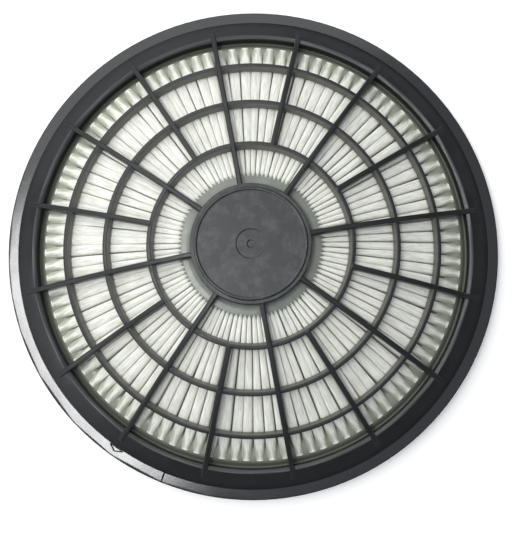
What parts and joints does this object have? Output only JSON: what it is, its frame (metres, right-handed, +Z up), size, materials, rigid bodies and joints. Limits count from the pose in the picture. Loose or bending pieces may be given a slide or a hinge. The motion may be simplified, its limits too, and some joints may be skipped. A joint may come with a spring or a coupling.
{
  "type": "vacuum filter",
  "caption": "Round domed vacuum cleaner filter: black spoked cage over a white radial pleat pack, potted at hub and rim, with a foam seal under the flange.",
  "frame": {"origin": "centre of the round foot of the collar, on the surface that it stands on", "axes": "+Z up along the axis of the dome, towards the hub; +X to the right in the picture"},
  "size_m": [0.19, 0.19, 0.037],
  "materials": {
    "cage": "moulded black plastic, satin",
    "media": "matt folded filter paper",
    "potting": "cast translucent adhesive",
    "seal": "closed-cell foam"
  },
  "bodies": {
    "root": {"cage": "cage", "pleated_media": "media", "rim_potting": "potting", "hub_potting": "potting", "seal_ring": "seal"}
  },
  "joints": []
}
